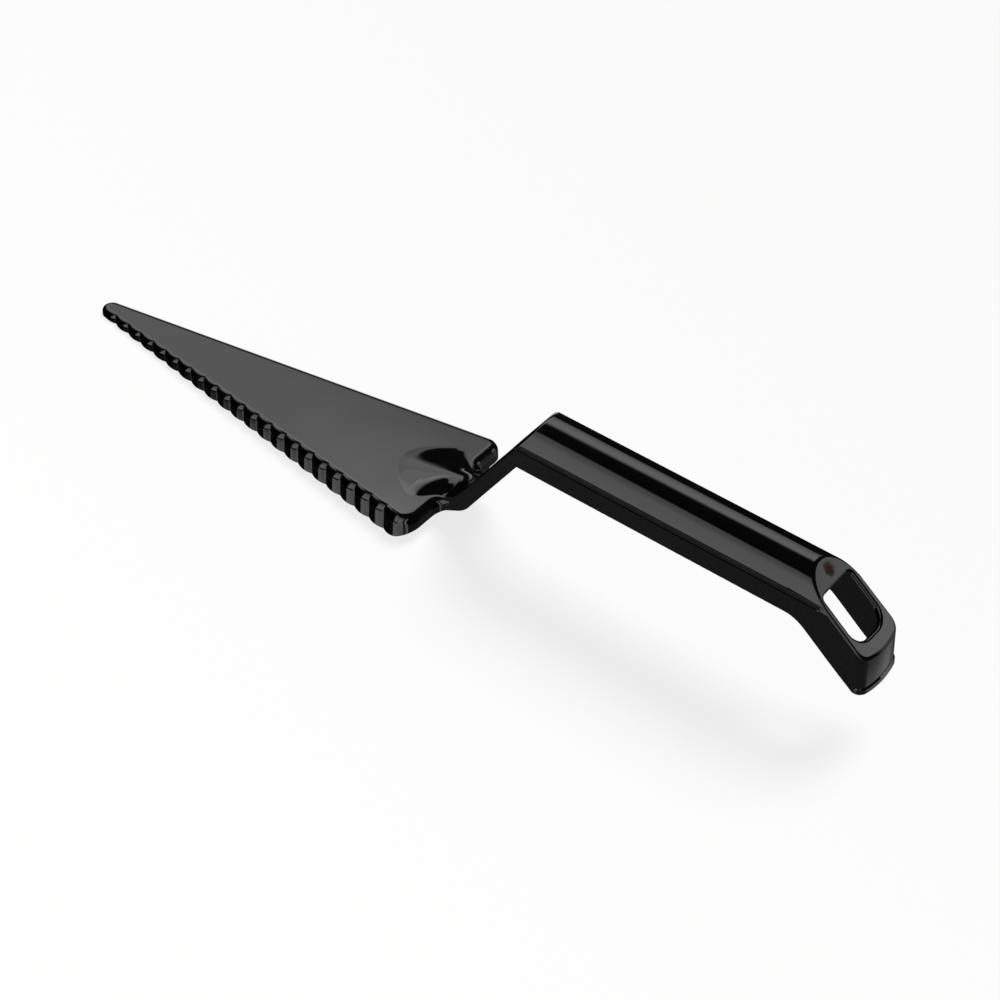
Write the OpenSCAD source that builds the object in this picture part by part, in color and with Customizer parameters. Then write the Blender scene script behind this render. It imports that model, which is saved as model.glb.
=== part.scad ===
// Cake server, moulded in one piece of gloss black polystyrene.
// A tapering blade with a skirt round it, scalloped on one side, a cranked neck,
// and a hollow half-round handle that ends in a sloping plate with a hanging hole.
// Millimetres, +Z up, +X towards the handle's end, scallops on the -Y side.
// The origin lies on the table, under the middle of the outline.

/* [Blade] */
// Length of the blade's top from the nose to the heel
blade_len = 128.4; // [100:0.2:150]
// Width of the blade's top at the heel
heel_w = 38.3; // [30:0.1:46]
// Radius of the rounded nose
nose_r = 2.2; // [1.9:0.1:3]
// Height of the blade's top above the table at the nose
nose_h = 2.4; // [2:0.1:3.5]
// Height of the blade's top above the table at the heel
heel_h = 7.9; // [6.5:0.1:10]
// Thickness of the blade's top plate
plate_t = 1.6; // [1.2:0.1:1.9]
// Radius of the heel's corner on the scalloped side
left_corner_r = 3.4; // [2:0.1:5]
// Radius of the heel's corner on the plain side
right_corner_r = 5; // [2:0.1:6]

/* [Skirt] */
// Thickness of the skirt that turns down round the blade
skirt_t = 1.4; // [1:0.1:1.8]
// Outward lean of the skirt, in degrees from the vertical
skirt_lean = 13.5; // [4:0.5:16]
// Distance in front of the heel where the skirt's foot starts to rise
relief_start = 5.2; // [3:0.1:7]
// Rise of the skirt's foot towards the neck, in degrees
relief_rise = 30.5; // [22:0.5:36]
// Distance from the nose's end of the edge to the first notch
scallop_lead = 3.4; // [1:0.1:6]
// Length of one scallop
scallop_pitch = 5.65; // [3:0.05:9]
// Depth of the notch between two scallops
scallop_depth = 0.6; // [0.3:0.05:0.9]

/* [Neck] */
// Distance behind the heel where the neck's front face leaves the blade's top
neck_offset = 3.9; // [3.6:0.1:7]
// Angle of the neck to the table, in degrees
neck_angle = 56; // [48:0.5:68]
// Thickness of the neck's web
neck_t = 3.8; // [2.5:0.1:5]
// Radius of the inside corner between the heel and the neck
root_r = 3; // [1.5:0.1:3.4]
// Length of the gusset in front of the heel
gusset_len = 14; // [8:0.5:20]
// Rise of the gusset's crest above the blade's top, in degrees
gusset_rise = 12; // [6:0.5:18]
// Radius of the gusset's rounded back
gusset_r = 12; // [9:0.5:16]

/* [Handle] */
// Width of the handle and of the neck
handle_w = 14.8; // [12:0.1:17]
// Height of the handle's foot above the table
handle_z = 32.8; // [27:0.1:40]
// Height of the handle's straight sides
side_h = 5.6; // [4:0.1:8]
// Length of the handle along the top of its crown
crown_len = 77; // [60:0.2:100]
// Wall of the handle's hollow channel
wall = 1.45; // [1.1:0.05:2]

/* [Hanging end] */
// Slope of the hanging plate, in degrees
end_slope = 40; // [34:0.1:48]
// Length of the hanging plate down its slope
hang_len = 25.6; // [23:0.1:30]
// Depth of the bent end, square to the hanging plate
end_depth = 9.9; // [8:0.1:11]
// Length of the level foot under the end
foot_len = 2.9; // [2.6:0.1:4]
// Radius of the end wall's upright corners
end_corner_r = 2.6; // [1.8:0.1:3.5]
// Length of plate above the hanging hole
hole_head = 6.9; // [5:0.1:9]
// Length of plate below the hanging hole
hole_foot = 4.4; // [3:0.1:6]
// Width of the strip on each side of the hanging hole
hole_rim = 1.45; // [1.2:0.05:2]
// Radius of the hanging hole's lower corners
hole_r = 4; // [2:0.1:4.4]
// Height of the lip round the end's foot
lip_h = 1.6; // [1:0.1:2.5]
// Overhang of the lip
lip_out = 0.7; // [0.2:0.05:0.9]

/* [Hidden] */
$fn = 96;
gloss_black = "#1c1b1c";
// Longer than any part of the server, for the cutting blocks
far = 400;
// Depth by which the rounded corners of an outline stand over its straight edges
seam = 0.01;
// Step to which the heel's corners are placed, so that the walls that meet there share one face
fine_step = 0.0001;

// The blade's top falls from the heel to the nose
blade_fall = asin((heel_h - nose_h) / blade_len);
lean_ratio = tan(skirt_lean);
skirt_depth = heel_h + plate_t;
left = -1;
right = 1;

// Plan of the blade, drawn on its top face with the heel at x = 0
nose_x = -(blade_len - nose_r);
heel_half = heel_w / 2;
edge_angle = atan(heel_half / -nose_x) - asin(nose_r / norm([nose_x, heel_half]));
heel_corner = 90 - edge_angle;
left_tangent = left_corner_r / tan(heel_corner / 2);
right_tangent = right_corner_r / tan(heel_corner / 2);
nose_touch = [nose_x - nose_r * sin(edge_angle), nose_r * cos(edge_angle)];
edge_len = norm([-nose_touch.x, heel_half - nose_touch.y]);
serrated_len = edge_len - left_tangent;
plain_len = edge_len - right_tangent;
scallops = ceil((serrated_len - scallop_lead) / scallop_pitch);
scallop_r = (pow(scallop_pitch / 2, 2) + pow(scallop_depth, 2)) / (2 * scallop_depth);

// Side view of the neck and the handle
neck_foot = on_blade(neck_offset, 0);
handle_r = handle_w / 2;
spring_z = handle_z + side_h;
crown_z = spring_z + handle_r;
crown_x = front_x(crown_z);
hang_x = crown_x + crown_len;
end_x = hang_x + hang_len * cos(end_slope);
arm_x = end_x - foot_len;
end_z = hang_z(arm_x, end_depth);
bend_x = hang_x + (crown_z - end_depth / cos(end_slope) - handle_z) / tan(end_slope);
hole_w = handle_w - 2 * hole_rim;
hole_len = hang_len - hole_head - hole_foot;
corner_r = min(end_corner_r, foot_len);

// The nose's foot leans out a little past its top
nose_depth = (nose_h + plate_t * lean_ratio * sin(blade_fall))
    / (cos(blade_fall) + lean_ratio * sin(blade_fall));
nose_foot = on_blade(-blade_len - (nose_depth - plate_t) * lean_ratio, -nose_depth);
front_end = min(nose_foot.x, on_blade(-blade_len, 0).x);
middle_x = (front_end + end_x + lip_out) / 2;

// Point of the blade's top frame in the side view
function on_blade(x, z) = [
    x * cos(blade_fall) - z * sin(blade_fall),
    heel_h + x * sin(blade_fall) + z * cos(blade_fall)
];
// Point at a distance along one edge of the blade from the nose, and inside it
function edge_point(side, run, inset) = [
    nose_touch.x + run * cos(edge_angle) + inset * sin(edge_angle),
    side * (nose_touch.y + run * sin(edge_angle) - inset * cos(edge_angle))
];
// Front and back of the neck's web at a height
function front_x(z) = neck_foot.x + (z - neck_foot.y) / tan(neck_angle);
function back_x(z) = front_x(z) + neck_t / sin(neck_angle);
// Crossing of two lines in the side view, each given by a point and an angle
function crossing(p, a, q, b) =
    p + [cos(a), sin(a)] * ((q.x - p.x) * sin(b) - (q.y - p.y) * cos(b)) / sin(b - a);
// Height of a line at a depth below the hanging plate's face
function hang_z(x, depth) = crown_z - (x - hang_x) * tan(end_slope) - depth / cos(end_slope);

// Sets the server over its origin
module place() {
    translate([-middle_x, 0, 0]) children();
}

// Frame of the blade's sloping top
module blade_frame() {
    translate([0, 0, heel_h]) rotate([0, -blade_fall, 0]) children();
}

// Turns a side view, drawn in X and Z, into a solid between two widths
module side_view(low, high) {
    translate([0, high, 0]) rotate([90, 0, 0]) linear_extrude(high - low) children();
}

// Everything below the blade's foot: the table, and the slope up to the neck
module under_blade() {
    translate([-far / 2, -far / 2, -far]) cube([far, far, far]);
    translate([-relief_start, -far / 2, 0]) rotate([0, -relief_rise, 0])
        translate([0, 0, -far]) cube([far, far, far]);
}

// Section of the skirt: offset out of the edge, and height below the top
module skirt_section() {
    spread = (skirt_depth - plate_t) * lean_ratio;
    polygon([
        [-skirt_t, -plate_t], [0, -plate_t], [spread, -skirt_depth], [spread - skirt_t, -skirt_depth]
    ]);
}

// Straight skirt that starts at a point and runs along a direction, outside on its right
module straight_skirt(start, angle, length) {
    translate(start) rotate(angle) translate([length, 0, 0]) rotate([90, 0, -90])
        linear_extrude(length) skirt_section();
}

// Skirt round an outside corner
module corner_skirt(centre, radius, from, sweep) {
    translate(centre) rotate(from) rotate_extrude(angle = sweep)
        translate([radius, 0]) skirt_section();
}

// Skirt round an inside corner
module fillet_skirt(centre, radius, from, sweep) {
    translate(centre) rotate(from) rotate_extrude(angle = sweep)
        translate([radius, 0]) mirror([1, 0]) skirt_section();
}

// Row of scallops along an edge on the x axis, with their tips on it
module scallop_row() {
    for (i = [-floor(scallop_lead / scallop_pitch) : scallops])
        translate([scallop_lead + (i - 0.5) * scallop_pitch, -scallop_r]) circle(scallop_r);
}

// Strip along the serrated edge, as deep as given
module scalloped_strip(depth) {
    intersection() {
        translate([0, -depth]) square([serrated_len, 2 * depth]);
        scallop_row();
    }
}

// Moves a drawing from the x axis to the scalloped edge, nose first, outside up
module along_serrated_edge() {
    translate([nose_touch.x, -nose_touch.y, 0]) mirror([0, 1, 0]) rotate(edge_angle) children();
}

// Plan of the blade's top: a core inside the scallops, the scallops, and the rounded corners
module blade_plan() {
    inset = 2 * scallop_depth;
    polygon([
        edge_point(left, 0, inset), edge_point(left, serrated_len, inset),
        [-seam, left_tangent - heel_half], [-seam, heel_half - right_tangent],
        edge_point(right, plain_len, seam), edge_point(right, 0, seam)
    ]);
    along_serrated_edge() intersection() {
        translate([0, -2 * inset]) square([serrated_len, 3 * inset]);
        scallop_row();
    }
    translate([nose_x, 0]) circle(nose_r);
    translate([-left_corner_r, left_tangent - heel_half]) circle(left_corner_r);
    translate([-right_corner_r, heel_half - right_tangent]) circle(right_corner_r);
}

// Tongue of the blade's top that runs into the neck between two inside corners
module tongue_plan() {
    difference() {
        translate([-root_r, -handle_r - root_r]) square([2 * root_r, handle_w + 2 * root_r]);
        for (side = [left, right])
            translate([root_r, side * (handle_r + root_r)]) circle(root_r);
    }
}

// Flat top of the blade
module blade_plate() {
    color(gloss_black) place() blade_frame() translate([0, 0, -plate_t]) linear_extrude(plate_t) {
        blade_plan();
        tongue_plan();
    }
}

// Scalloped wall under the left edge of the blade
module serrated_skirt() {
    color(gloss_black) place() difference() {
        blade_frame() difference() {
            along_serrated_edge() translate([0, 0, -plate_t]) rotate([skirt_lean, 0, 0])
                translate([0, 0, -2 * skirt_depth]) linear_extrude(3 * skirt_depth)
                    scalloped_strip(skirt_t * cos(skirt_lean));
            translate([-far / 2, -far / 2, -plate_t]) cube(far);
            translate([-far / 2, 0, -far / 2]) cube(far);
        }
        under_blade();
    }
}

// Smooth wall under the right edge of the blade
module plain_skirt() {
    color(gloss_black) place() difference() {
        blade_frame() difference() {
            straight_skirt(edge_point(right, plain_len, 0), 180 + edge_angle, plain_len);
            translate([-far / 2, -far, -far / 2]) cube(far);
        }
        under_blade();
    }
}

// Rounded wall under the nose
module nose_skirt() {
    color(gloss_black) place() difference() {
        blade_frame() corner_skirt([nose_x, 0, 0], nose_r, 90 + edge_angle, 180 - 2 * edge_angle);
        under_blade();
    }
}

// Wall under one side of the heel: its corner, its straight and the inside corner at the neck
module heel_skirt(side, radius, tangent) {
    corner_y = round((heel_half - tangent) / fine_step) * fine_step;
    run = corner_y - handle_r - root_r;
    color(gloss_black) place() difference() {
        blade_frame() mirror([0, side < 0 ? 1 : 0, 0]) translate([0, corner_y, 0]) {
            corner_skirt([-radius, 0, 0], radius, 0, 90 + edge_angle);
            straight_skirt([0, 0, 0], -90, run);
            fillet_skirt([root_r, -run, 0], root_r, 180, 90);
        }
        under_blade();
    }
}

module heel_skirt_left() {
    heel_skirt(left, left_corner_r, left_tangent);
}

module heel_skirt_right() {
    heel_skirt(right, right_corner_r, right_tangent);
}

// Swelling in the corner of the blade and the neck
module neck_gusset() {
    tip = on_blade(-gusset_len, 0);
    top = neck_foot.y + gusset_len;
    color(gloss_black) place() intersection() {
        side_view(-handle_r, handle_r) polygon([tip, neck_foot, [front_x(top), top], [tip.x, top]]);
        blade_frame() translate([-gusset_len, 0, 0]) rotate([0, -gusset_rise, 0])
            translate([-gusset_len, 0, -gusset_r]) rotate([0, 90, 0]) cylinder(h = far, r = gusset_r);
    }
}

// Outside of the handle's channel, drawn across its length
module handle_outside() {
    translate([-handle_r, 0]) square([handle_w, spring_z]);
    translate([0, spring_z]) circle(handle_r);
}

// Runs a section, drawn in Y and Z, along the whole server
module along_handle() {
    translate([-far / 2, 0, 0]) rotate([90, 0, 90]) linear_extrude(far) children();
}

// Cranked strap from the heel's tongue up to the crown, which closes the handle's front
module neck_web() {
    tongue = on_blade(root_r, 0);
    relief = [-relief_start, 0];
    heel_low = crossing(tongue, 90 + blade_fall, relief, relief_rise);
    back_low = crossing([back_x(0), 0], neck_angle, relief, relief_rise);
    color(gloss_black) place() intersection() {
        side_view(-handle_r, handle_r) polygon([
            heel_low, back_low, [back_x(crown_z), crown_z], [crown_x, crown_z], neck_foot, tongue
        ]);
        along_handle() handle_outside();
    }
}

// Everything in front of the back of the neck's web
module before_neck() {
    side_view(-far / 2, far / 2)
        polygon([[-far, 0], [back_x(0), 0], [back_x(crown_z + wall), crown_z + wall], [-far, crown_z + wall]]);
}

// Everything above the underside of the hanging plate
module above_hang() {
    side_view(-far / 2, far / 2) polygon([
        [hang_x - far, hang_z(hang_x - far, wall)], [end_x + far, hang_z(end_x + far, wall)],
        [end_x + far, far], [hang_x - far, far + hang_z(hang_x - far, wall)]
    ]);
}

// Half-round top of the handle's channel
module handle_crown() {
    color(gloss_black) place() difference() {
        along_handle() difference() {
            translate([0, spring_z]) circle(handle_r);
            translate([0, spring_z]) circle(handle_r - wall);
            translate([-handle_w, spring_z - handle_w]) square([2 * handle_w, handle_w]);
        }
        before_neck();
        above_hang();
    }
}

// One straight side of the channel, bent down with the end
module handle_side(side) {
    outer = side * handle_r;
    inner = side * (handle_r - wall);
    hang_spring_x = hang_x + (crown_z - wall / cos(end_slope) - spring_z) / tan(end_slope);
    color(gloss_black) place() side_view(min(outer, inner), max(outer, inner)) polygon([
        [back_x(handle_z), handle_z], [bend_x, handle_z], [arm_x, end_z],
        [arm_x, hang_z(arm_x, wall)], [hang_spring_x, spring_z], [back_x(spring_z), spring_z]
    ]);
}

module handle_side_left() {
    handle_side(left);
}

module handle_side_right() {
    handle_side(right);
}

// Plan of the end from its arms to its outer face, grown or shrunk by an amount
module end_plan(grow = 0) {
    half = handle_r + grow;
    radius = max(corner_r + grow, wall / 4);
    reach = end_x + grow;
    translate([arm_x, -half]) square([reach - radius - arm_x, 2 * half]);
    translate([reach - radius, radius - half]) square([radius, 2 * (half - radius)]);
    for (side = [left, right])
        translate([reach - radius, side * (half - radius)]) circle(radius);
}

// Wall of the end, as seen from above
module end_ring(grow = 0) {
    difference() {
        intersection() {
            end_plan(grow);
            translate([arm_x, -handle_w]) square([far, 2 * handle_w]);
        }
        end_plan(-wall);
    }
}

// Hole with a straight upper edge and rounded lower corners, drawn down the slope
module hole_plan() {
    translate([0, -hole_w / 2]) square([hole_len - hole_r, hole_w]);
    translate([0, hole_r - hole_w / 2]) square([hole_len, hole_w - 2 * hole_r]);
    for (side = [left, right])
        translate([hole_len - hole_r, side * (hole_w / 2 - hole_r)]) circle(hole_r);
}

// Sloping plate with the hanging hole
module hang_plate() {
    color(gloss_black) place() difference() {
        intersection() {
            translate([hang_x, 0, crown_z]) rotate([0, end_slope, 0])
                translate([-hang_len, -handle_r, -wall]) cube([3 * hang_len, handle_w, wall]);
            along_handle() handle_outside();
            linear_extrude(crown_z) {
                translate([hang_x - hang_len, -handle_r]) square([arm_x - hang_x + hang_len, handle_w]);
                end_plan();
            }
        }
        translate([hang_x, 0, crown_z]) rotate([0, end_slope, 0])
            translate([hole_head, 0, -2 * wall]) linear_extrude(4 * wall) hole_plan();
    }
}

// Upright wall that closes the end, above its lip
module end_wall() {
    color(gloss_black) place() difference() {
        translate([0, 0, end_z + lip_h]) linear_extrude(crown_z - end_z) end_ring();
        above_hang();
    }
}

// Lip round the foot of the end wall
module end_lip() {
    color(gloss_black) place() translate([0, 0, end_z]) linear_extrude(lip_h) end_ring(lip_out);
}

blade_plate();
serrated_skirt();
plain_skirt();
nose_skirt();
heel_skirt_left();
heel_skirt_right();
neck_gusset();
neck_web();
handle_crown();
handle_side_left();
handle_side_right();
hang_plate();
end_wall();
end_lip();
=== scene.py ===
import math

import bmesh
import bpy
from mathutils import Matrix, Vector


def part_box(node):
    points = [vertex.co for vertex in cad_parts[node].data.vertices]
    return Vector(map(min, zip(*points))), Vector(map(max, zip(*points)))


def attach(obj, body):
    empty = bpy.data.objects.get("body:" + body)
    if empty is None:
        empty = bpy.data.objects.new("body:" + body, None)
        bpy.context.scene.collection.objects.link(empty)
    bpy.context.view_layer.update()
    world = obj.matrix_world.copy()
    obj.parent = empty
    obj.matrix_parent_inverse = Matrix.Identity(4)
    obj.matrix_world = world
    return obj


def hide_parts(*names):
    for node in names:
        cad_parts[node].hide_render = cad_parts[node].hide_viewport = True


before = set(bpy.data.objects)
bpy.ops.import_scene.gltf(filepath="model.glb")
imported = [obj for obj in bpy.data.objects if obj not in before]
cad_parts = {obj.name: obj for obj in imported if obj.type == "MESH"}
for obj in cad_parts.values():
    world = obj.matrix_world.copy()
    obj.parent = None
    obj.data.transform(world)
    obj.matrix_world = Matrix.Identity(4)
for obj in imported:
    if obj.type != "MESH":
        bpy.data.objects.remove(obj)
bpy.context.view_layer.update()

# The blade. A wedge-shaped tray, moulded in gloss-black polystyrene in one shot with the rest of
# the server. Its flat top rolls over into thin skirts that lean outward and stand on the table.
# The cutting side's skirt is scalloped, and at the heel the skirts rise to meet the neck.


def linear(code):
    """A colour written as sRGB hex, as the linear RGBA that a socket takes."""
    parts = [int(code[i : i + 2], 16) / 255 for i in (1, 3, 5)]
    return [p / 12.92 if p <= 0.04045 else ((p + 0.055) / 1.055) ** 2.4 for p in parts] + [1.0]


def add(tree, kind, sockets=None, **settings):
    """Adds a node with its settings, its values and its incoming links, and returns its outputs."""
    made = tree.nodes.new("ShaderNode" + kind)
    for name, value in settings.items():
        setattr(made, name, value)
    for name, value in (sockets or {}).items():
        if isinstance(value, bpy.types.NodeSocket):
            tree.links.new(value, made.inputs[name])
        else:
            made.inputs[name].default_value = value
    return made.outputs


# Moulded polystyrene: near-black all through, with the hard gloss of a polished mould. The eye gets
# mirror-like bands, slightly bent by flow waves, with fine grain, hairline scuffs, specks of dust and
# a small ragged brown blotch, rougher than the rest, above the peg hole. Grain and scuffs are drawn coarse
# enough to show.
polystyrene = bpy.data.materials.new("moulded polystyrene")
polystyrene.use_nodes = True
tree = polystyrene.node_tree
tree.nodes.clear()
metre = 1000.0
cloud_mm, wave_mm, grain_mm, dust_mm, blot_mm = 16.0, 26.0, 0.55, 7.0, 2.4
scuff_mm, scuff_long_mm, scuff_turn = 0.42, 16.0, 0.5
wave_deep_mm, grain_deep_mm = 0.4, 0.05
dust_share, scuff_rough, brown_mark_rough = 0.05, 0.06, 0.8
brown_mark_at = [v / metre for v in (109.95, 0.7, 43.55)]
brown_mark_ragged, brown_mark_core, brown_mark_edge = 3.0 / metre, 1.8 / metre, 3.6 / metre
# The sockets of a colour mix go by number: its two colours, and what comes out
colour_a, colour_b, mixed = 6, 7, 2
where = add(tree, "TexCoord")["Object"]
cloud = add(tree, "TexNoise", {"Vector": where, "Scale": metre / cloud_mm, "Detail": 3.0})["Fac"]
flow = add(tree, "TexNoise", {"Vector": where, "Scale": metre / wave_mm, "Detail": 1.0})["Fac"]
grain = add(tree, "TexNoise", {"Vector": where, "Scale": metre / grain_mm, "Detail": 2.0})["Fac"]
speck = add(tree, "TexVoronoi", {"Vector": where, "Scale": metre / dust_mm})["Distance"]
speck = add(
    tree,
    "MapRange",
    {"Value": speck, "From Min": 0.012, "From Max": 0.03, "To Min": 1.0, "To Max": 0.0},
)["Result"]
scuff_scale = (metre / scuff_long_mm, metre / scuff_mm, metre / scuff_long_mm)
across = add(tree, "Mapping", {"Vector": where, "Rotation": (0.0, 0.0, scuff_turn), "Scale": scuff_scale})
scuff = add(tree, "TexNoise", {"Vector": across["Vector"], "Scale": 1.0, "Detail": 2.0})["Fac"]
scuff = add(tree, "MapRange", {"Value": scuff, "From Min": 0.68, "From Max": 0.76})["Result"]
# A small ragged brown blotch, darker and rougher than the rest, above the peg hole on the sloping flat
brown_mark = add(tree, "VectorMath", {0: where, 1: brown_mark_at}, operation="DISTANCE")["Value"]
blot = add(tree, "TexNoise", {"Vector": where, "Scale": metre / blot_mm, "Detail": 5.0})["Fac"]
brown_mark = add(tree, "Math", {0: blot, 1: brown_mark_ragged, 2: brown_mark}, operation="MULTIPLY_ADD")[0]
brown_mark = add(
    tree,
    "MapRange",
    {"Value": brown_mark, "From Min": brown_mark_core, "From Max": brown_mark_edge, "To Min": 1.0, "To Max": 0.0},
)["Result"]
body = add(
    tree,
    "Mix",
    {"Factor": cloud, colour_a: linear("#050405"), colour_b: linear("#0b0a0a")},
    data_type="RGBA",
)[mixed]
body = add(
    tree, "Mix", {"Factor": brown_mark, colour_a: body, colour_b: linear("#26100a")}, data_type="RGBA"
)[mixed]
dust = add(tree, "Math", {0: speck, 1: dust_share}, operation="MULTIPLY")[0]
body = add(
    tree, "Mix", {"Factor": dust, colour_a: body, colour_b: linear("#9a9792")}, data_type="RGBA"
)[mixed]
rough = add(
    tree,
    "MapRange",
    {"Value": cloud, "From Min": 0.3, "From Max": 0.7, "To Min": 0.05, "To Max": 0.09},
)["Result"]
rough = add(tree, "Math", {0: scuff, 1: scuff_rough, 2: rough}, operation="MULTIPLY_ADD")[0]
rough = add(tree, "Math", {0: brown_mark, 1: brown_mark_rough, 2: rough}, operation="MULTIPLY_ADD")[0]
waves = {"Height": flow, "Strength": 0.25, "Distance": wave_deep_mm / metre}
waves = add(tree, "Bump", waves)["Normal"]
waves = {"Height": grain, "Strength": 0.006, "Distance": grain_deep_mm / metre, "Normal": waves}
waves = add(tree, "Bump", waves)["Normal"]
plastic = add(
    tree, "BsdfPrincipled", {"Base Color": body, "Roughness": rough, "IOR": 1.59, "Normal": waves}
)["BSDF"]
add(tree, "OutputMaterial", {"Surface": plastic})

heel_x, heel_z = 0.92, 7.9
plate_fall = math.tan(math.radians(2.455))
heel_rise, rise_lead, rise_soft = math.tan(math.radians(30.5)), 5.6, 1.4
plate_t, skirt_t = 1.6, 1.4
cutting_lean, plain_lean, lean_run = 4, 1, 2
cutting_roll, cutting_gain, plain_roll, plain_gain, nose_flat = 1.2, 0.15, 2.2, 0.07, 0.25
roll_loss, roll_run, roll_from, lean_from, middle = 0.6, 2.5, -1, 2, 4


def ease(t):
    """A smooth step from 0 to 1."""
    t = min(max(t, 0), 1)
    return t * t * (3 - 2 * t)


def plate_z(x):
    """Height of the blade's flat top, which falls from the heel to the nose."""
    return heel_z + (x - heel_x) * plate_fall


def foot_z(x):
    """Height of the skirts' foot: on the table, then rising under the heel."""
    past = x - heel_x + rise_lead
    return heel_rise * (past + math.hypot(past, rise_soft)) / 2


def roll(x, y):
    """Radius of the rolled edge: fuller on the plain side, and less where the tongue meets the neck."""
    high = plate_z(x)
    cutting = cutting_roll + cutting_gain * high
    plain = min(plain_roll + plain_gain * high, high - nose_flat)
    full = cutting + (plain - cutting) * ease((y - roll_from) / middle)
    return full * (1 - roll_loss * ease((x - heel_x) / roll_run))


def lean(x, y):
    """How far the skirt leans out for each millimetre down: most on the cutting side, none at the neck."""
    degrees = plain_lean + (cutting_lean - plain_lean) * ease((lean_from - y) / middle)
    return math.tan(math.radians(degrees)) * (1 - ease((x - heel_x) / lean_run))


def keep(bm, name, *nodes):
    """Makes a piece of a mesh drawn in millimetres, in place of the CAD nodes it stands for."""
    bmesh.ops.recalc_face_normals(bm, faces=bm.faces[:])
    crease = math.radians(32)
    for edge in bm.edges:
        if len(edge.link_faces) == 2 and edge.calc_face_angle() > crease:
            edge.smooth = False
    for face in bm.faces:
        face.smooth = True
    bmesh.ops.scale(bm, verts=bm.verts[:], vec=[1 / metre] * 3)
    mesh = bpy.data.meshes.new(name)
    bm.to_mesh(mesh)
    bm.free()
    mesh.materials.append(polystyrene)
    piece = bpy.data.objects.new(name, mesh)
    bpy.context.scene.collection.objects.link(piece)
    even = piece.modifiers.new("even shading", "WEIGHTED_NORMAL")
    even.keep_sharp = True
    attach(piece, "root")
    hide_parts(*nodes)
    return piece


def fresh_verts(made):
    """The vertices among what an operator made."""
    return [v for v in made if isinstance(v, bmesh.types.BMVert)]


def ring_out(bm, ring):
    """Extrudes a closed ring of vertices once and returns the new ring in the same order."""
    loop = [bm.edges.get((a, b)) for a, b in zip(ring, ring[1:] + ring[:1])]
    fresh = set(fresh_verts(bmesh.ops.extrude_edge_only(bm, edges=loop)["geom"]))
    return [next(e.other_vert(v) for e in v.link_edges if e.other_vert(v) in fresh) for v in ring]


bm = bmesh.new()
edge_x, tongue_x, half_tongue = 0.9, 7.2, 7.35
cutting_half, cutting_taper, plain_half, plain_taper = 20.04, 0.1395, 20.38, 0.1370
nose_r, nose_x, nose_y = 2.8, -124.53, 0.37
cutting_point, plain_point = math.atan(cutting_taper), math.atan(plain_taper)
tip = bm.verts.new((nose_x - nose_r * math.sin(plain_point), nose_y + nose_r * math.cos(plain_point), 0))
bmesh.ops.spin(
    bm,
    geom=[tip],
    cent=(nose_x, nose_y, 0),
    axis=(0, 0, 1),
    dvec=(0, 0, 0),
    angle=math.pi - cutting_point - plain_point,
    steps=20,
)
nose = sorted(bm.verts, key=lambda v: -v.co.y)
plan = ((edge_x, -cutting_half), (edge_x, -half_tongue), (tongue_x, -half_tongue))
plan += ((tongue_x, half_tongue), (edge_x, half_tongue), (edge_x, plain_half))
corners = [bm.verts.new((x, y, 0)) for x, y in plan]
bm.faces.new(nose + corners)
near_heel, near_root, far_root, far_heel = [corners[i] for i in (0, 1, 4, 5)]
for corner, reach, steps in (
    (near_heel, 4.9, 16),
    (near_root, 3.0, 10),
    (far_root, 3.0, 10),
    (far_heel, 5.0, 16),
):
    bmesh.ops.bevel(
        bm, geom=[corner], offset=reach, affect="VERTICES", segments=steps, profile=0.5, material=-1
    )
# The scallops: a row of shallow arcs along the near edge, with a cusp between each two
near = max((e for e in bm.edges if sum(v.co.y for v in e.verts) < 0), key=lambda e: e.calc_length())
x_from, x_to = sorted(v.co.x for v in near.verts)
first_cusp, pitch, depth, fine, scallops = -120.35, 5.61, 0.6, 12, 25
clear, touch, fade_run, top_share = 0.1, 0.01, 3, 0.3
stops = [first_cusp + pitch * k / fine for k in range(-fine, scallops * fine)]
stops = [x for x in stops if x_from + clear < x < x_to - clear]
cut = bmesh.ops.subdivide_edges(bm, edges=[near], cuts=len(stops))["geom_inner"]
cut = sorted(fresh_verts(cut), key=lambda v: v.co.x)
for vert, x in zip(cut, stops):
    vert.co = (x, -cutting_half + (edge_x - x) * cutting_taper, 0)
scalloped = set(cut)
ring = [loop.vert for loop in max(bm.faces, key=lambda f: f.calc_area()).loops]
edge = [v.co.copy() for v in ring]
out, dip, cusps = [], [], []
arc_r = (depth**2 + (pitch / 2) ** 2) / (2 * depth)
for i, vert in enumerate(ring):
    ahead = (edge[(i + 1) % len(edge)] - edge[i]).normalized()
    behind = (edge[i] - edge[i - 1]).normalized()
    along = (ahead + behind).normalized()
    out.append(Vector((along.y, -along.x, 0)))
    from_middle = (vert.co.x - first_cusp) % pitch - pitch / 2
    fade = max(0, min(1, (vert.co.x - x_from) / fade_run, (x_to - vert.co.x) / fade_run))
    dip.append((math.sqrt(arc_r**2 - from_middle**2) - arc_r) * fade if vert in scalloped else 0)
    if vert in scalloped and abs(abs(from_middle) - pitch / 2) < touch:
        cusps.append(i)
# The rolled edge and the skirt below it, in rings from the top's edge down and back up inside
steps = 8
for step in range(steps + 1):
    if step:
        ring = ring_out(bm, ring)
    for vert, p, n, d in zip(ring, edge, out, dip):
        upright = math.pi / 2 - math.atan(lean(p.x, p.y))
        turn = upright * step / steps
        inset = math.tan(upright / 2)
        sunk = d * (top_share + (1 - top_share) * step / steps)
        vert.co = p + n * (roll(p.x, p.y) * (math.sin(turn) - inset) + sunk)
        vert.co.z = plate_z(vert.co.x) - roll(p.x, p.y) * (1 - math.cos(turn))
rolled = ring
ring = ring_out(bm, ring)
for vert, p, n, d in zip(ring, edge, out, dip):
    drop = plate_z(p.x) - foot_z(p.x)
    vert.co = p + n * (drop * lean(p.x, p.y) + d)
    vert.co.z = foot_z(vert.co.x)
for i in cusps:
    bm.edges.get((rolled[i], ring[i])).smooth = False
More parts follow.
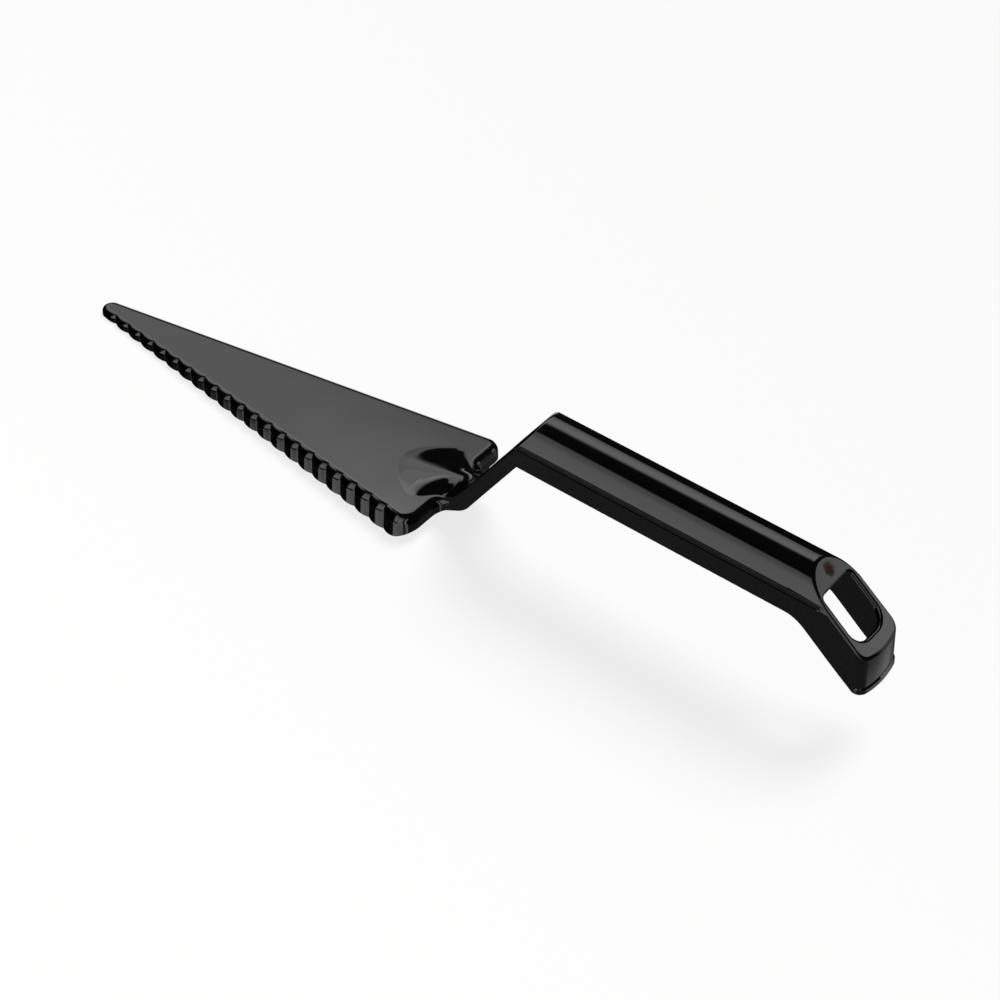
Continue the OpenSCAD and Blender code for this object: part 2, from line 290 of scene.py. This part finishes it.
for under in (foot_z, lambda x: plate_z(x) - plate_t):
    ring = ring_out(bm, ring)
    for vert, p, n in zip(ring, edge, out):
        vert.co = p + n * ((plate_z(p.x) - under(p.x)) * lean(p.x, p.y) - skirt_t)
        vert.co.z = under(vert.co.x)
bmesh.ops.edgeloop_fill(bm, edges=[e for e in bm.edges if e.is_boundary])
skirts = ("serrated_skirt", "plain_skirt", "nose_skirt", "heel_skirt_left", "heel_skirt_right")
keep(bm, "blade", "blade_plate", *skirts)

# The gusset. A low rounded rib that grows out of the blade's top and runs up the foot of the neck,
# so that the thin neck can't snap off the blade. Same moulding, blended in with no seam.
neck_rise = math.radians(56)
neck_x, neck_lift, half_flat = 4.4, math.tan(neck_rise), 6.6


def front_x(z):
    """Where the neck's sloping front face is at a height."""
    return neck_x + (z - plate_z(neck_x)) / neck_lift


bm = bmesh.new()
bmesh.ops.create_grid(bm, x_segments=120, y_segments=80, size=1)
rib_from, rib_to, blend, rib_half = -16.8, 11.0, 5.0, 11.0
rib_tip, rib_swell, waist_x, waist_run = 0.03, 10, -5, 6
rib_lift, rib_lead, rib_soft, flank = 0.167, 1.5, 1.2, 1.5
skin, root_deep = 0.012, 1.2
for vert in bm.verts:
    offset = vert.co.y
    x = rib_from + (vert.co.x + 1) / 2 * (rib_to - rib_from)
    swell = math.sqrt(min(1, rib_tip + (x - rib_from) / rib_swell))
    wide = rib_half * swell + (half_flat - rib_half) * ease((x - waist_x) / waist_run)
    run = x - rib_from - rib_lead
    rib = rib_lift * (run + math.hypot(run, rib_soft)) / 2 * (1 - offset**2) ** flank
    climb = (x - front_x(plate_z(x))) * neck_lift
    high = max(rib, climb) + max(blend - abs(rib - climb), 0) ** 2 / (4 * blend)
    vert.co = (x, offset * wide, plate_z(x) + high + skin)
made = bmesh.ops.extrude_face_region(bm, geom=bm.faces[:], use_keep_orig=True)["geom"]
for vert in fresh_verts(made):
    x = vert.co.x
    vert.co.z = max(plate_z(x), plate_z(neck_x) + (x - neck_x) * neck_lift) - root_deep
keep(bm, "gusset", "neck_gusset")

# The neck. A flat strap, as wide as the handle, that climbs from the blade's heel at 56 degrees.
# Its lower end turns under the heel and its upper end closes the front of the hollow handle.
crown_low, crown_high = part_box("handle_crown")
handle_r, spring_z, crown_z = crown_high[1] * metre, crown_low[2] * metre, crown_high[2] * metre
half_neck = handle_r
groove_z, groove_deep, groove_half, shoulder = spring_z - 0.1, 0.25, 0.12, 1.2
handle_z = 32.8
strap = 4.13 / math.sin(neck_rise)


def back_x(z):
    """Where the neck's rear face is at a height."""
    return front_x(z) + strap


def handle_section(bm):
    """Draws the handle's outer section at X 0, from one lower edge over the top to the other."""
    shoulder_y = math.sqrt(handle_r**2 - shoulder**2)
    groove = ((-handle_r, groove_z), (-handle_r + groove_deep, groove_z + groove_half))
    tip = bm.verts.new((0, -handle_r, handle_z))
    for y, z in (*groove, (-shoulder_y, spring_z + shoulder)):
        tip = bmesh.ops.extrude_vert_indiv(bm, verts=[tip])["verts"][0]
        tip.co = (0, y, z)
    turn = math.pi - 2 * math.asin(shoulder / handle_r)
    over = bmesh.ops.spin(
        bm, geom=[tip], cent=(0, 0, spring_z), axis=(-1, 0, 0), dvec=(0, 0, 0), angle=turn, steps=64
    )
    tip = fresh_verts(over["geom_last"])[0]
    for y, z in (*groove[::-1], (-handle_r, handle_z)):
        tip = bmesh.ops.extrude_vert_indiv(bm, verts=[tip])["verts"][0]
        tip.co = (0, -y, z)


bm = bmesh.new()
low_x, low_z, start_x, bend_r = 9.39, 8.05, 4.2, 2.2
side = ((start_x, foot_z(start_x)), (start_x, plate_z(start_x)), (neck_x, plate_z(neck_x)))
side += ((front_x(groove_z), groove_z), (back_x(groove_z), groove_z), (low_x, low_z))
face = bm.faces.new([bm.verts.new((x, -half_neck, z)) for x, z in side])
made = bmesh.ops.extrude_face_region(bm, geom=[face])["geom"]
bmesh.ops.translate(bm, verts=fresh_verts(made), vec=(0, 2 * half_neck, 0))
slab = set(bm.verts)
handle_section(bm)
lower = [v for v in bm.verts if v not in slab and v.co.z < groove_z - clear]
bmesh.ops.delete(bm, geom=lower, context="VERTS")
arch = [v for v in bm.verts if v not in slab]
arch.sort(key=lambda v: math.atan2(v.co.z - groove_z, -v.co.y))
for vert in arch:
    vert.co.x = front_x(vert.co.z)
cap = bm.faces.new(arch)
made = bmesh.ops.extrude_face_region(bm, geom=[cap])["geom"]
bmesh.ops.translate(bm, verts=fresh_verts(made), vec=(strap, 0, 0))
inside = [f for f in bm.faces if all(abs(v.co.z - groove_z) < 1e-3 for v in f.verts)]
bmesh.ops.delete(bm, geom=inside, context="FACES")
bmesh.ops.remove_doubles(bm, verts=bm.verts[:], dist=0.001)
bmesh.ops.recalc_face_normals(bm, faces=bm.faces[:])
under = [e for e in bm.edges if all(abs(v.co.x - low_x) < 1e-3 for v in e.verts)]
bmesh.ops.bevel(bm, geom=under, offset=bend_r, affect="EDGES", segments=8, profile=0.5, material=-1)
bm.normal_update()
forward = Vector((-math.sin(neck_rise), 0, math.cos(neck_rise)))
outline = []
for e in bm.edges:
    facing = [f.normal.dot(forward) > 0.99 for f in e.link_faces]
    over_plate = max(v.co.z for v in e.verts) > plate_z(neck_x) + clear
    if len(facing) == 2 and facing[0] != facing[1] and over_plate:
        outline.append(e)
bmesh.ops.bevel(
    bm, geom=outline, offset=half_neck - half_flat, affect="EDGES", segments=6, profile=0.5, material=-1
)
keep(bm, "neck", "neck_web")

# The handle. A hollow half-round channel, open underneath, with short upright sides. A fine groove
# runs along each side where the round top meets it: the line where the halves of the mould part.
shell = handle_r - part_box("handle_side_right")[0][1] * metre
cut_x = 104.0


def thicken(bm):
    """Gives an open skin its wall, on the inside."""
    made = bmesh.ops.extrude_face_region(bm, geom=bm.faces[:], use_keep_orig=True)["geom"]
    bm.normal_update()
    for vert in fresh_verts(made):
        vert.co -= vert.normal * shell


bm = bmesh.new()
handle_section(bm)
for vert in bm.verts:
    vert.co.x = back_x(vert.co.z)
made = bmesh.ops.extrude_edge_only(bm, edges=bm.edges[:])["geom"]
for vert in fresh_verts(made):
    vert.co.x = cut_x
bmesh.ops.recalc_face_normals(bm, faces=bm.faces[:])
thicken(bm)
keep(bm, "handle", "handle_crown", "handle_side_left", "handle_side_right")

# The hanging end. The handle's top is cut off by a sloping flat with a peg hole in it, and its sides
# turn down with the flat to a bowed end wall that stands proud as a lip along its foot.
slope = math.radians(40)
hang_x, turn_x, arm_x, end_z, sag = 107.27, 123.5, 123.6, 18.9, 2.4


def under_z(x):
    """Height of the end's lower edge, which bends down from the handle's."""
    level, fall = handle_z, end_z + (arm_x - x) * math.tan(slope)
    bend = max(sag - abs(level - fall), 0)
    return max(min(level, fall) - bend * bend / (4 * sag), end_z)


def flat(down, y):
    """A point on the sloping flat, by its distance down the slope."""
    return Vector((hang_x + down * math.cos(slope), y, crown_z - down * math.sin(slope)))


def on_groove(co):
    """Whether a point is in the stretch of the section where the groove runs."""
    return groove_z - clear < co.z < spring_z + shoulder + clear


bm = bmesh.new()
handle_section(bm)
for vert in bm.verts:
    vert.co.x = cut_x
made = bmesh.ops.extrude_edge_only(bm, edges=bm.edges[:])["geom"]
for vert in fresh_verts(made):
    vert.co.x = turn_x
# The groove runs out before the bend
fade_from, fade_to, flush_y = 112.0, 113.4, 7.36
lengthwise = [e for e in bm.edges if abs(e.verts[0].co.x - e.verts[1].co.x) > 1]
parting = [e for e in lengthwise if all(on_groove(v.co) for v in e.verts)]
bmesh.ops.subdivide_edges(bm, edges=parting, cuts=2)
for vert in bm.verts:
    if on_groove(vert.co) and vert.co.x > cut_x + 1:
        if vert.co.x < turn_x - 1:
            vert.co.x = fade_from if vert.co.x < (cut_x + turn_x) / 2 else fade_to
        if vert.co.x > fade_from + 1:
            vert.co.y = math.copysign(max(abs(vert.co.y), flush_y), vert.co.y)
low = [e for e in bm.edges if all(v.co.z < handle_z + touch for v in e.verts)]
bmesh.ops.subdivide_edges(bm, edges=low, cuts=40)
for vert in bm.verts:
    if vert.co.z < handle_z + touch:
        vert.co.z = under_z(vert.co.x)
# The end wall: a corner, a shallow bow and a corner, spun from the near side's edge
tip = [e for e in bm.edges if all(v.co.x > turn_x - touch and v.co.y < touch - handle_r for v in e.verts)]
tip += [v for e in tip for v in e.verts]
corner_r, corner_turn = 2.6, math.radians(76)
corner_y = handle_r - corner_r
bow_r = (corner_y + corner_r * math.cos(corner_turn)) / math.cos(corner_turn)
bow_x = turn_x + (corner_r - bow_r) * math.sin(corner_turn)
for cent, angle in (
    ((turn_x, -corner_y, 0), corner_turn),
    ((bow_x, 0, 0), math.pi - 2 * corner_turn),
    ((turn_x, corner_y, 0), corner_turn),
):
    made = bmesh.ops.spin(bm, geom=tip, cent=cent, axis=(0, 0, 1), dvec=(0, 0, 0), angle=angle, steps=9)
    tip = made["geom_last"]
bmesh.ops.remove_doubles(bm, verts=bm.verts[:], dist=0.001)
# The draft: towards its foot the end stands out a little, and so does its far side
draft_z, draft_top, end_draft, end_from, end_run = 27, 30, 0.06, 116, 10
far_draft, far_from, far_run = 0.08, 118, 6
for vert in bm.verts:
    below = draft_z - min(vert.co.z, draft_top)
    far_share = ease((vert.co.x - far_from) / far_run) * ease(vert.co.y / far_run)
    vert.co.y += far_draft * max(below, 0) * far_share
    vert.co.x += end_draft * below * ease((vert.co.x - end_from) / end_run)
away = Vector((math.sin(slope), 0, math.cos(slope)))


def above_flat(co):
    """How far a point is above the sloping flat."""
    return (co - flat(0, 0)).dot(away)


def lid_of(bm):
    """The largest face that lies in the sloping flat."""
    return max((f for f in bm.faces if f.normal.dot(away) > 0.999), key=lambda f: f.calc_area())


bmesh.ops.bisect_plane(
    bm,
    geom=bm.verts[:] + bm.edges[:] + bm.faces[:],
    dist=1e-5,
    plane_co=flat(0, 0),
    plane_no=away,
    clear_outer=True,
)
rim = [e for e in bm.edges if e.is_boundary and all(abs(above_flat(v.co)) < touch for v in e.verts)]
lid = bmesh.ops.edgeloop_fill(bm, edges=rim)["faces"][0]
bmesh.ops.recalc_face_normals(bm, faces=bm.faces[:])
bm.normal_update()
if lid.normal.dot(away) < 0:
    bmesh.ops.reverse_faces(bm, faces=bm.faces[:])
bm.normal_update()
rim, rim_r = list(lid_of(bm).edges), 0.55
bmesh.ops.bevel(bm, geom=rim, offset=rim_r, affect="EDGES", segments=6, profile=0.5, material=-1)
bm.normal_update()
# The peg hole: a rectangle with small upper and large lower corners, cut out of the flat
hole_top, hole_foot, half_hole, upper_r, lower_r, peg_r = 6.9, 21.2, 5.65, 1.2, 4.0, 0.65
lid = lid_of(bm)
rim = list(lid.edges)
bmesh.ops.delete(bm, geom=[lid], context="FACES_ONLY")
plan = ((hole_top, -half_hole), (hole_foot, -half_hole), (hole_foot, half_hole), (hole_top, half_hole))
hole = [bm.verts.new(flat(down, y)) for down, y in plan]
peg = bm.faces.new(hole)
known = set(bm.edges) - set(peg.edges)
for vert, reach in zip(hole, (upper_r, lower_r, lower_r, upper_r)):
    bmesh.ops.bevel(
        bm, geom=[vert], offset=reach, affect="VERTICES", segments=8, profile=0.5, material=-1
    )
peg = [e for e in bm.edges if e not in known]
bmesh.ops.delete(bm, geom=[f for f in bm.faces if set(f.edges) <= set(peg)], context="FACES_ONLY")
bmesh.ops.triangle_fill(bm, use_beauty=True, edges=rim + peg, normal=away)
# The lip along the foot, with a short slant from the wall out to it
lip_h, slant_h, lip_out, lip_run = 1.4, 0.3, 0.34, 2
for z in (end_z + lip_h + slant_h, end_z + lip_h):
    tail = [f for f in bm.faces if max(v.co.x for v in f.verts) > arm_x and min(v.co.z for v in f.verts) < z]
    tail = {g for f in tail for g in (f, *f.edges, *f.verts)}
    bmesh.ops.bisect_plane(bm, geom=list(tail), dist=1e-5, plane_co=(0, 0, z), plane_no=(0, 0, 1))
bmesh.ops.recalc_face_normals(bm, faces=bm.faces[:])
bm.normal_update()
lip = [v for v in bm.verts if v.co.z < end_z + lip_h + touch and v.co.x > arm_x - clear]
proud = [Vector((v.normal.x, v.normal.y, 0)).normalized() * lip_out for v in lip]
for vert, step in zip(lip, proud):
    vert.co += step * ease((vert.co.x - arm_x) / lip_run)
thicken(bm)


def at_peg(co):
    """Whether a point is on the rim of the peg hole, in the flat's face."""
    down = (co.x - hang_x) / math.cos(slope)
    in_hole = abs(co.y) < half_hole + touch and hole_top - touch < down < hole_foot + touch
    return in_hole and abs(above_flat(co)) < touch


sharp = []
for e in bm.edges:
    folded = len(e.link_faces) == 2 and e.calc_face_angle() > math.radians(40)
    if folded and all(at_peg(v.co) for v in e.verts):
        sharp.append(e)
bmesh.ops.bevel(bm, geom=sharp, offset=peg_r, affect="EDGES", segments=3, profile=0.5, material=-1)
hanging_end = keep(bm, "hanging_end", "hang_plate", "end_wall", "end_lip")
for facet in hanging_end.data.polygons:
    facet.use_smooth = facet.normal.dot(away) < 0.9999

# The floor. A sweep of matt white paper, larger than any view of the part, which takes the shadow.
# The gloss doesn't mirror it: the photo's server mirrors a dark table.
bpy.ops.mesh.primitive_plane_add(size=6)
floor = bpy.context.object
floor.name = "paper sweep"
paper = bpy.data.materials.new("matt white paper")
paper.use_nodes = True
tree = paper.node_tree
tree.nodes.clear()
fibre_mm, paper_glow = 1.1, 0.8
where = add(tree, "TexCoord")["Object"]
fibre = add(tree, "TexNoise", {"Vector": where, "Scale": metre / fibre_mm, "Detail": 4.0})["Fac"]
shade = {"Factor": fibre, colour_a: linear("#f3f2f1"), colour_b: linear("#f7f7f6")}
tone = add(tree, "Mix", shade, data_type="RGBA")[mixed]
sheet = add(tree, "BsdfDiffuse", {"Color": tone, "Roughness": 1.0})["BSDF"]
white = add(tree, "Emission", {"Color": (1.0, 1.0, 1.0, 1.0), "Strength": 1.0})["Emission"]
ray = add(tree, "LightPath")
direct = {0: ray["Is Camera Ray"], 1: ray["Is Transmission Ray"]}
share = add(tree, "Math", direct, operation="MAXIMUM")[0]
share = add(tree, "Math", {0: share, 1: paper_glow}, operation="MULTIPLY")[0]
seen = add(tree, "MixShader", {0: share, 1: sheet, 2: white})["Shader"]
unmirrored = add(tree, "BsdfTransparent")["BSDF"]
seen = add(tree, "MixShader", {0: ray["Is Glossy Ray"], 1: seen, 2: unmirrored})["Shader"]
add(tree, "OutputMaterial", {"Surface": seen})
floor.data.materials.append(paper)

# The studio: a lamp high behind that throws the shadow forward, and what the gloss mirrors, which is
# a broad soft box behind, a white card low in front, and the dark of the room above and far off.
lamp = bpy.data.lights.new("lamp behind", "SUN")
lamp.energy, lamp.angle = 4.0, math.radians(30)
lamp_stand = bpy.data.objects.new("lamp behind", lamp)
bpy.context.scene.collection.objects.link(lamp_stand)
lamp_from = Vector((0.1, 0.5, 0.86))
lamp_stand.rotation_euler = lamp_from.to_track_quat("Z", "Y").to_euler()
lamp_stand.visible_glossy = False
world = bpy.data.worlds.new("studio")
bpy.context.scene.world = world
world.use_nodes = True
tree = world.node_tree
tree.nodes.clear()
ways = add(tree, "TexCoord")["Generated"]
along, across, up = add(tree, "SeparateXYZ", {"Vector": ways}).values()


def patch(*edges):
    """A light or card of the studio, as the product of its soft edges.

    An edge gives the part of the direction that it lies across, the two values between which the
    brightness changes, and the brightness before and after, which is 0 and 1 where it isn't said.
    """
    total = 1.0
    for value, start, end, *tones in edges:
        before, after = tones or (0.0, 1.0)
        sockets = {"Value": value, "From Min": start, "From Max": end, "To Min": before, "To Max": after}
        edge = add(tree, "MapRange", sockets, interpolation_type="SMOOTHSTEP")["Result"]
        total = add(tree, "Math", {0: total, 1: edge}, operation="MULTIPLY")[0]
    return total


# The soft box behind: what the blade's top mirrors, which darkens to the far side and is lightest
# near the gusset, and what the handle's crown mirrors
behind = ((up, 0.38, 0.44), (up, 0.89, 0.81), (across, 0.12, 0.3), (along, -0.05, -0.25))
by_blade, by_crown = (along, -0.47, -0.51), (along, -0.51, -0.47)
box = patch(*behind, by_blade, (across, 0.535, 0.58, 1.22, 0.85))
for light in (
    patch(*behind, by_blade, (up, 0.6, 0.68, 0.0, 1.1), (across, 0.59, 0.54)),
    patch(*behind, by_crown, (up, 0.42, 0.76, 0.8, 1.75)),
):
    box = add(tree, "Math", {0: box, 1: light}, operation="ADD")[0]
# The box's wing towards the nose, in the gusset's near flank
wing = patch(
    (up, 0.38, 0.44),
    (up, 0.79, 0.74),
    (across, -0.2, -0.1),
    (across, 0.48, 0.42),
    (along, -0.5, -0.58, 0.0, 1.5),
    (along, -0.84, -0.76),
)
# A second box past the handle's end, in the sloping flat, and a dim card under it
side_box = patch(
    (up, 0.15, 0.4),
    (up, 0.48, 0.42, 0.8, 1.7),
    (up, 0.58, 0.5),
    (across, 0.585, 0.61),
    (along, 0.36, 0.46),
)
side_card = patch((up, -0.58, -0.46), (up, 0.4, 0.15, 0.0, 0.4), (across, 0.53, 0.61), (along, 0.36, 0.46))
# The white card in front, in the handle's near side of the crown and in the scallops, dimmer for
# the scallops near the nose, with a strip of it round the corner for the heel
nose_end = patch((along, -0.2, -0.3), (up, -0.6, -0.56), (up, -0.25, -0.4))
front = (
    (up, 0.79, 0.74),
    (up, -0.665, -0.635),
    (up, 0.75, 0.4, 0.9, 1.5),
    (up, -0.6, -0.4, 0.6, 1.0),
    (across, -0.3, -0.42),
    (along, -0.62, -0.58),
    (nose_end, 0.0, 1.0, 1.0, 0.0),
)
card = patch(*front, (along, 0.3, 0.22))
card_strip = patch(*front, (along, 0.42, 0.46), (along, 0.66, 0.6))
# The table, dim in the upright sides, lighter in the end wall and along the blade's far edge
table = patch((up, -0.5, -0.6), (along, -0.6, -0.45, 0.01, 0.1))
table_end = patch((up, -0.69, -0.705), (along, 0.05, 0.3, 0.0, 0.4), (across, 0.1, 0.4))
table_far = patch((up, 0.08, -0.2), (across, 0.4, 0.6), (along, -0.45, -0.48))
glow = add(tree, "Math", {0: box, 1: wing}, operation="MAXIMUM")[0]
for light in (side_box, side_card, card, card_strip, table, table_end, table_far):
    glow = add(tree, "Math", {0: glow, 1: light}, operation="ADD")[0]
ray = add(tree, "LightPath")
glow = add(tree, "Math", {0: glow, 1: ray["Is Glossy Ray"]}, operation="MULTIPLY")[0]
fill = patch((ray["Is Glossy Ray"], 0.0, 1.0, 0.12, 0.0))
for light in (ray["Is Camera Ray"], fill):
    glow = add(tree, "Math", {0: glow, 1: light}, operation="ADD")[0]
room = add(tree, "Background", {"Color": (1.0, 0.985, 0.985, 1.0), "Strength": glow})["Background"]
add(tree, "OutputWorld", {"Surface": room})

# The camera: where the photo was taken from, above the front right, with a short telephoto lens.
# Its place is a distance back from a point low on the server, between the neck and the handle.
lens = bpy.data.cameras.new("photo camera")
lens.lens, lens.sensor_width = 88.48, 36.0
lens.clip_start, lens.clip_end = 0.01, 20.0
camera = bpy.data.objects.new("photo camera", lens)
bpy.context.scene.collection.objects.link(camera)
azimuth, elevation, distance = math.radians(38.562), math.radians(43.42), 0.6222
aim = Vector((0.015113, 0.0, 0.009866))
outward = math.cos(elevation)
back = Vector((math.sin(azimuth) * outward, -math.cos(azimuth) * outward, math.sin(elevation)))
camera.location = aim + back * distance
camera.rotation_euler = (-back).to_track_quat("-Z", "Y").to_euler()
bpy.context.scene.camera = camera
bpy.context.scene.view_settings.view_transform = "Standard"
